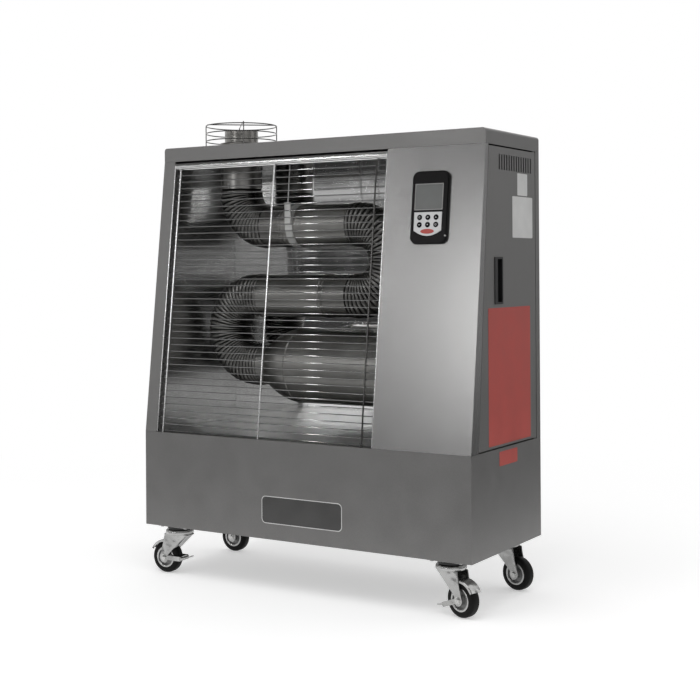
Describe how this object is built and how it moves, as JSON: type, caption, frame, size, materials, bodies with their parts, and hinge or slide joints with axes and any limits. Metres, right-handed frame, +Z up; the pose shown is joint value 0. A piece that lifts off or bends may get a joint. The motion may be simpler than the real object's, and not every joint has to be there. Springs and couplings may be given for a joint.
{
  "type": "diesel infrared heater",
  "caption": "Wheeled oil-fired radiant heater: tank base, leaning guarded front with a serpentine heat tube, burner bay with service door, control unit and caged chimney.",
  "frame": {"origin": "on the floor, under the middle of the bounding box", "axes": "+X to the heater's right as seen from its front, +Y from the guarded front to the back, +Z up"},
  "size_m": [0.9068, 0.3592, 1.0989],
  "materials": {
    "grey_paint": "satin dark grey powder coat",
    "silver_paint": "satin silver grey paint",
    "polished_steel": "polished stainless sheet",
    "tube_steel": "satin stainless tube",
    "chrome_wire": "bright plated wire",
    "zinc_steel": "zinc plated steel",
    "black_plastic": "black moulded plastic",
    "button_plastic": "black push buttons",
    "silver_plastic": "silver keypad plate",
    "display": "grey display window",
    "tank_plastic": "dark polyethylene tank",
    "red_plastic": "red filler cap",
    "cast_alloy": "cast aluminium",
    "fan_plastic": "black fan wheel",
    "tyre": "black rubber tread",
    "hub_plastic": "grey wheel core"
  },
  "bodies": {
    "cabinet": {"base_cabinet": "grey_paint", "fuel_tank": "tank_plastic", "left_side_panel": "grey_paint", "front_control_panel": "silver_paint", "rear_panel": "grey_paint", "top_cap": "grey_paint", "partition_wall": "zinc_steel", "rear_reflector": "polished_steel", "left_reflector": "polished_steel", "guard_top_rail": "polished_steel", "wire_guard": "chrome_wire", "flue_elbow": "tube_steel", "upper_tube": "tube_steel", "right_return_bend": "tube_steel", "middle_tube": "tube_steel", "left_return_bend": "tube_steel", "combustion_chamber": "tube_steel", "tube_clamp": "chrome_wire", "chimney_spigot": "tube_steel", "chimney_guard": "chrome_wire", "burner_housing": "cast_alloy", "burner_motor": "black_plastic", "fuel_pump": "cast_alloy", "ignition_transformer": "black_plastic", "fuel_filter": "cast_alloy", "electrical_box": "silver_plastic", "control_unit_housing": "black_plastic", "display_lens": "display", "keypad_plate": "silver_plastic", "power_inlet": "black_plastic", "door_hinge_rod": "zinc_steel", "caster_plate_front_right": "zinc_steel", "caster_plate_front_left": "zinc_steel", "caster_plate_rear_right": "zinc_steel", "caster_plate_rear_left": "zinc_steel"},
    "door": {"service_door": "grey_paint", "door_handle": "black_plastic"},
    "cap": {"fuel_cap": "red_plastic"},
    "fan": {"burner_fan": "fan_plastic"},
    "button_1": {"button_1": "button_plastic"},
    "button_2": {"button_2": "button_plastic"},
    "button_3": {"button_3": "button_plastic"},
    "button_4": {"button_4": "button_plastic"},
    "button_5": {"button_5": "button_plastic"},
    "button_6": {"button_6": "button_plastic"},
    "fork_front_right": {"caster_fork_front_right": "zinc_steel"},
    "wheel_front_right": {"caster_hub_front_right": "hub_plastic", "caster_tyre_front_right": "tyre"},
    "brake_front_right": {"brake_lever_front_right": "zinc_steel"},
    "fork_front_left": {"caster_fork_front_left": "zinc_steel"},
    "wheel_front_left": {"caster_hub_front_left": "hub_plastic", "caster_tyre_front_left": "tyre"},
    "brake_front_left": {"brake_lever_front_left": "zinc_steel"},
    "fork_rear_right": {"caster_fork_rear_right": "zinc_steel"},
    "wheel_rear_right": {"caster_hub_rear_right": "hub_plastic", "caster_tyre_rear_right": "tyre"},
    "fork_rear_left": {"caster_fork_rear_left": "zinc_steel"},
    "wheel_rear_left": {"caster_hub_rear_left": "hub_plastic", "caster_tyre_rear_left": "tyre"}
  },
  "joints": [
    {"name": "door_hinge", "type": "hinge", "parent": "cabinet", "child": "door", "pos_m": [0.44492, 0.15135, 0.67], "axis": [0, 0, 1], "range_deg": [0, 90]},
    {"name": "fuel_cap_turn", "type": "hinge", "parent": "cabinet", "child": "cap", "pos_m": [-0.44008, -0.00165, 0.268], "axis": [-1, 0, 0], "range_deg": [0, 90]},
    {"name": "fan_spin", "type": "hinge", "parent": "cabinet", "child": "fan", "pos_m": [0.29002, 0.02035, 0.5025], "axis": [1, 0, 0], "continuous": true},
    {"name": "button_1_press", "type": "slide", "parent": "cabinet", "child": "button_1", "axis": [0, 0.993, -0.118], "range_m": [0, 0.001], "stiffness_N_per_m": 300, "springref_m": -0.0005},
    {"name": "button_2_press", "type": "slide", "parent": "cabinet", "child": "button_2", "axis": [0, 0.993, -0.118], "range_m": [0, 0.001], "stiffness_N_per_m": 300, "springref_m": -0.0005},
    {"name": "button_3_press", "type": "slide", "parent": "cabinet", "child": "button_3", "axis": [0, 0.993, -0.118], "range_m": [0, 0.001], "stiffness_N_per_m": 300, "springref_m": -0.0005},
    {"name": "button_4_press", "type": "slide", "parent": "cabinet", "child": "button_4", "axis": [0, 0.993, -0.118], "range_m": [0, 0.001], "stiffness_N_per_m": 300, "springref_m": -0.0005},
    {"name": "button_5_press", "type": "slide", "parent": "cabinet", "child": "button_5", "axis": [0, 0.993, -0.118], "range_m": [0, 0.001], "stiffness_N_per_m": 300, "springref_m": -0.0005},
    {"name": "button_6_press", "type": "slide", "parent": "cabinet", "child": "button_6", "axis": [0, 0.993, -0.118], "range_m": [0, 0.001], "stiffness_N_per_m": 300, "springref_m": -0.0005},
    {"name": "swivel_front_right", "type": "hinge", "parent": "cabinet", "child": "fork_front_right", "pos_m": [0.37892, -0.13765, 0.1197], "axis": [0, 0, 1], "continuous": true},
    {"name": "roll_front_right", "type": "hinge", "parent": "fork_front_right", "child": "wheel_front_right", "pos_m": [0.41256, -0.1473, 0.038], "axis": [0.2756, 0.9613, 0], "continuous": true},
    {"name": "brake_front_right", "type": "hinge", "parent": "fork_front_right", "child": "brake_front_right", "pos_m": [0.41256, -0.1473, 0.038], "axis": [0.2756, 0.9613, 0], "range_deg": [0, 20]},
    {"name": "swivel_front_left", "type": "hinge", "parent": "cabinet", "child": "fork_front_left", "pos_m": [-0.36108, -0.13765, 0.1197], "axis": [0, 0, 1], "continuous": true},
    {"name": "roll_front_left", "type": "hinge", "parent": "fork_front_left", "child": "wheel_front_left", "pos_m": [-0.39604, -0.13948, 0.038], "axis": [0.0523, -0.9986, 0], "continuous": true},
    {"name": "brake_front_left", "type": "hinge", "parent": "fork_front_left", "child": "brake_front_left", "pos_m": [-0.39604, -0.13948, 0.038], "axis": [0.0523, -0.9986, 0], "range_deg": [-20, 0]},
    {"name": "swivel_rear_right", "type": "hinge", "parent": "cabinet", "child": "fork_rear_right", "pos_m": [0.37892, 0.13435, 0.1197], "axis": [0, 0, 1], "continuous": true},
    {"name": "roll_rear_right", "type": "hinge", "parent": "fork_rear_right", "child": "wheel_rear_right", "pos_m": [0.41315, 0.12707, 0.038], "axis": [0.2079, 0.9781, 0], "continuous": true},
    {"name": "swivel_rear_left", "type": "hinge", "parent": "cabinet", "child": "fork_rear_left", "pos_m": [-0.36108, 0.13435, 0.1197], "axis": [0, 0, 1], "continuous": true},
    {"name": "roll_rear_left", "type": "hinge", "parent": "fork_rear_left", "child": "wheel_rear_left", "pos_m": [-0.39608, 0.13435, 0.038], "axis": [0, -1, 0], "continuous": true}
  ]
}
